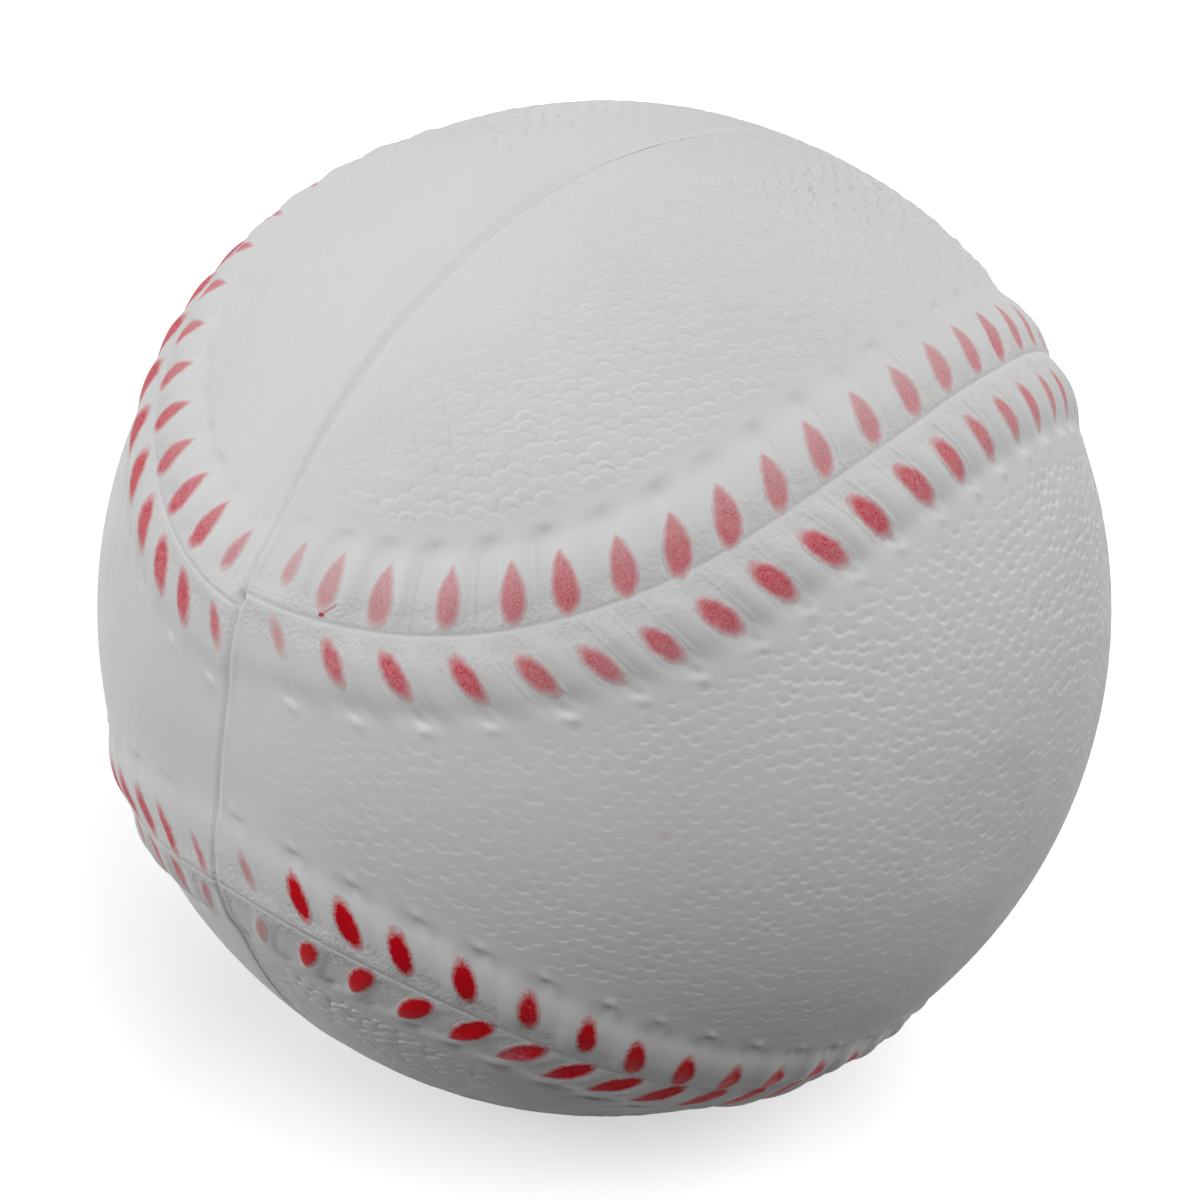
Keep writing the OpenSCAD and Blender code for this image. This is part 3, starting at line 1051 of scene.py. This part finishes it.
# Small spots of stray paint: both ends as directions, radius, soft edge and strength
STRAY_PAINT = (
    ((-0.9276, -0.1692, 0.3331), (-0.9262, -0.1731, 0.3346), 0.08 * MM, 0.12 * MM, 0.95),
    ((-0.9235, -0.1769, 0.3405), (-0.9135, -0.1924, 0.3583), 0.03 * MM, 0.07 * MM, 0.6),
    ((-0.6369, -0.7672, 0.0754), (-0.6330, -0.7705, 0.0754), 0, 0.5 * MM, 0.13),
)


def stray_share(nodes, start, end, radius, edge, strength):
    """Share of paint round the line between two directions on the ball."""
    start, end = (Vector(v).normalized() * BALL_R for v in (start, end))
    line = end - start
    outward = nodes.vector("NORMALIZE", nodes.place)
    rel = nodes.vector("SUBTRACT", nodes.vector("SCALE", outward, BALL_R), start)
    along = nodes.math("DIVIDE", nodes.vector("DOT_PRODUCT", rel, line), line.length_squared, clamp=True)
    nearest = nodes.vector("SCALE", line, along)
    far = nodes.vector("LENGTH", nodes.vector("SUBTRACT", rel, nearest))
    return nodes.spread(far, radius, radius + edge, strength, 0)


def skin_colour(nodes):
    """White with slow cloudiness and a few tiny dark specks."""
    cloud = nodes.spread(nodes.noise(*SKIN_CLOUDS), *SKIN_CLOUD_SPREAD)
    colour = nodes.mix(cloud, WHITE, SHADED_WHITE)
    cells = nodes.cells(SPECK_SCALE)
    dots = nodes.spread(cells.outputs["Distance"], SPECK_R_SHARE / 2, SPECK_R_SHARE, SPECK_STRENGTH, 0)
    chosen = nodes.math("GREATER_THAN", cells.outputs["Color"], 1 - SPECK_CHANCE)
    colour = nodes.mix(nodes.math("MULTIPLY", dots, chosen), colour, SPECK)
    for stray in STRAY_PAINT:
        colour = nodes.mix(stray_share(nodes, *stray), colour, DARK_RED)
    return colour


def skin_finish(nodes, specular, rough_share=None):
    """Satin with a fine tooth, and scuffed where rough_share says."""
    normal = nodes.bump(nodes.noise(*FINE_TOOTH), FINE_TOOTH_DEEP)
    normal = nodes.bump(nodes.noise(*TOOTH), TOOTH_DEEP, normal)
    if rough_share is not None:
        scuffs = nodes.math("MULTIPLY", nodes.noise(*SCUFFS), rough_share)
        normal = nodes.bump(scuffs, SCUFF_DEEP, normal)
    nodes.link(normal, nodes.shader.inputs["Normal"])
    rough = nodes.spread(nodes.noise(*SHEEN_CLOUDS), *ROUGHNESS_SPREAD)
    nodes.link(rough, nodes.shader.inputs["Roughness"])
    nodes.shader.inputs["Specular IOR Level"].default_value = specular


def skin_material():
    nodes = Nodes("moulded_skin")
    nodes.link(skin_colour(nodes), nodes.shader.inputs["Base Color"])
    skin_finish(nodes, SKIN_SPECULAR, nodes.attribute("rough"))
    return nodes.material


def paint_material():
    """Red paint in grains over the skin: dense inside a mark and sparse at its edge."""
    nodes = Nodes("stitch_paint")
    cover, strength = nodes.attribute("cover"), nodes.attribute("strength")
    grains, clumps = nodes.noise(*PAINT_GRAINS), nodes.noise(*PAINT_CLUMPS)
    ragged = nodes.math("ADD", cover, nodes.spread(grains, *RAGGED_BY_GRAINS))
    ragged = nodes.math("ADD", ragged, nodes.spread(clumps, *RAGGED_BY_CLUMPS))
    share = nodes.math("MULTIPLY", nodes.spread(ragged, *PAINT_EDGE_SPREAD), strength)
    share = nodes.math("MULTIPLY", share, nodes.spread(grains, *PAINT_GRAIN_SPREAD), clamp=True)
    red = nodes.mix(nodes.spread(grains, *DARK_PAINT_SPREAD), DARK_RED, RED)
    red = nodes.mix(nodes.spread(strength, *THICK_PAINT_SPREAD), red, THICK_RED)
    nodes.link(nodes.mix(share, skin_colour(nodes), red), nodes.shader.inputs["Base Color"])
    skin_finish(nodes, PAINT_SPECULAR)
    return nodes.material


def foam_material():
    nodes = Nodes("open_foam")
    distance = nodes.cells(FOAM_SCALE).outputs["Distance"]
    nodes.link(nodes.bump(distance, FOAM_DEEP), nodes.shader.inputs["Normal"])
    # Painted shade: each cell's colour darkens from its wall towards its hollow middle
    shade = nodes.spread(distance, *FOAM_SPREAD)
    nodes.link(nodes.mix(shade, FOAM_HOLLOW_SHADE, FOAM_WALL), nodes.shader.inputs["Base Color"])
    nodes.shader.inputs["Roughness"].default_value = FOAM_ROUGHNESS
    return nodes.material


def dress():
    skin, paint = skin_material(), paint_material()
    for half, side in ((FRONT, "front"), (REAR, "rear")):
        shell = skin_half(f"{side}_skin", half)
        shell.data.materials.append(skin)
        for row, word in ((CAP, "cap"), (SIDE, "side")):
            piece = marks(f"{side}_{word}_marks", half, row, shell)
            piece.data.materials.append(paint)
            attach(piece, "root")
            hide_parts(f"paint_{side}_{word}_row")
        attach(shell, "root")
        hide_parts(f"skin_{side}")
    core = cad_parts["foam_core"]
    core.data.materials.clear()
    core.data.materials.append(foam_material())


# Camera of the photograph
CAMERA_AZIMUTH = math.radians(-48.4)
CAMERA_ELEVATION = math.radians(27.2)
CAMERA_ROLL = math.radians(7.2)
CAMERA_DISTANCE = 289 * MM
LENS = 121.2
SENSOR = 36
SHIFT_X_SHARE = -0.0037
SHIFT_Y_SHARE = 0.0073
NEAR_CLIP = 10 * MM


def camera_axes():
    a, e = CAMERA_AZIMUTH, CAMERA_ELEVATION
    back = Vector((math.sin(a) * math.cos(e), -math.cos(a) * math.cos(e), math.sin(e)))
    level = Vector((math.cos(a), math.sin(a), 0))
    right = level * math.cos(CAMERA_ROLL) + back.cross(level) * math.sin(CAMERA_ROLL)
    return right, back.cross(right), back


def add_camera():
    right, up, back = camera_axes()
    data = bpy.data.cameras.new("camera")
    data.lens = LENS
    data.sensor_width = SENSOR
    data.shift_x = SHIFT_X_SHARE
    data.shift_y = SHIFT_Y_SHARE
    data.clip_start = NEAR_CLIP
    camera = bpy.data.objects.new("camera", data)
    turn = Matrix((right, up, back)).transposed().to_4x4()
    camera.matrix_world = Matrix.Translation(back * CAMERA_DISTANCE) @ turn
    bpy.context.scene.collection.objects.link(camera)
    bpy.context.scene.camera = camera


# Lamps
LAMP_DISTANCE = 0.95
LAMP_D = 0.7

# Each lamp's name, its direction given right, up and back of the camera, and its watts
LAMPS = (
    ("front", (0.29, 0.37, 0.88), 5.75),
    ("left", (-0.91, 0.04, 0.42), 3.2),
    ("far_left", (-0.97, 0.25, -0.02), 5.05),
    ("right", (0.89, 0.47, 0.02), 1.9),
    ("top", (0.17, 0.98, -0.08), 2.46),
)


def add_lamp(name, way, watts):
    """A round lamp that looks at the ball."""
    right, up, back = camera_axes()
    place = (right * way[0] + up * way[1] + back * way[2]).normalized() * LAMP_DISTANCE
    data = bpy.data.lights.new(name, "AREA")
    data.shape = "DISK"
    data.size = LAMP_D
    data.energy = watts
    lamp = bpy.data.objects.new(name, data)
    lamp.location = place
    lamp.rotation_euler = place.to_track_quat("Z", "Y").to_euler()
    bpy.context.scene.collection.objects.link(lamp)


def add_lights():
    """Soft lamps to both sides, above and by the camera. The underside stays dark."""
    for name, way, watts in LAMPS:
        add_lamp(name, way, watts)


def seen_directly(tree):
    """1 for rays from the camera and for mirrored and refracted ones, else 0."""
    path = tree.nodes.new("ShaderNodeLightPath")
    total = path.outputs["Is Camera Ray"]
    for kind in ("Is Glossy Ray", "Is Transmission Ray"):
        node = tree.nodes.new("ShaderNodeMath")
        node.operation = "MAXIMUM"
        tree.links.new(total, node.inputs[0])
        tree.links.new(path.outputs[kind], node.inputs[1])
        total = node.outputs[0]
    return total


# Floor
FLOOR_SIZE = 6
FLOOR_Z = cad_bounds[0].z
FLOOR_ROUGHNESS = 0.9

# The floor is white to the eye, with the ball's shadow, but throws little light on the ball
FLOOR_SEEN = (0.85, 0.85, 0.85)
FLOOR_UNSEEN = (0.1, 0.1, 0.1)
FLOOR_GLOW = 0.55
# The floor's glow grows to a full white between these distances from the ball
FLOOR_PALE_R = 0.2
FLOOR_WHITE_R = 0.6


def floor_material():
    nodes = Nodes("floor")
    seen = seen_directly(nodes.tree)
    nodes.link(nodes.mix(seen, FLOOR_UNSEEN, FLOOR_SEEN), nodes.shader.inputs["Base Color"])
    far = nodes.vector("LENGTH", nodes.place)
    glow = nodes.math("MULTIPLY", seen, nodes.spread(far, FLOOR_PALE_R, FLOOR_WHITE_R, FLOOR_GLOW, 1))
    nodes.link(glow, nodes.shader.inputs["Emission Strength"])
    nodes.shader.inputs["Emission Color"].default_value = (1, 1, 1, 1)
    nodes.shader.inputs["Roughness"].default_value = FLOOR_ROUGHNESS
    nodes.shader.inputs["Specular IOR Level"].default_value = 0
    return nodes.material


def add_floor():
    mesh = bpy.data.meshes.new("floor")
    d = FLOOR_SIZE / 2
    corners = [(x * d, y * d, FLOOR_Z) for x, y in ((-1, -1), (1, -1), (1, 1), (-1, 1))]
    mesh.from_pydata(corners, [], [(0, 1, 2, 3)])
    floor = bpy.data.objects.new("floor", mesh)
    bpy.context.scene.collection.objects.link(floor)
    mesh.materials.append(floor_material())


def add_world():
    """White behind the ball, for the eye alone."""
    world = bpy.data.worlds.new("studio")
    world.use_nodes = True
    tree = world.node_tree
    background = tree.nodes["Background"]
    background.inputs["Color"].default_value = (1, 1, 1, 1)
    tree.links.new(seen_directly(tree), background.inputs["Strength"])
    bpy.context.scene.world = world


dress()
add_camera()
add_lights()
add_floor()
add_world()
bpy.context.scene.view_settings.view_transform = "Standard"
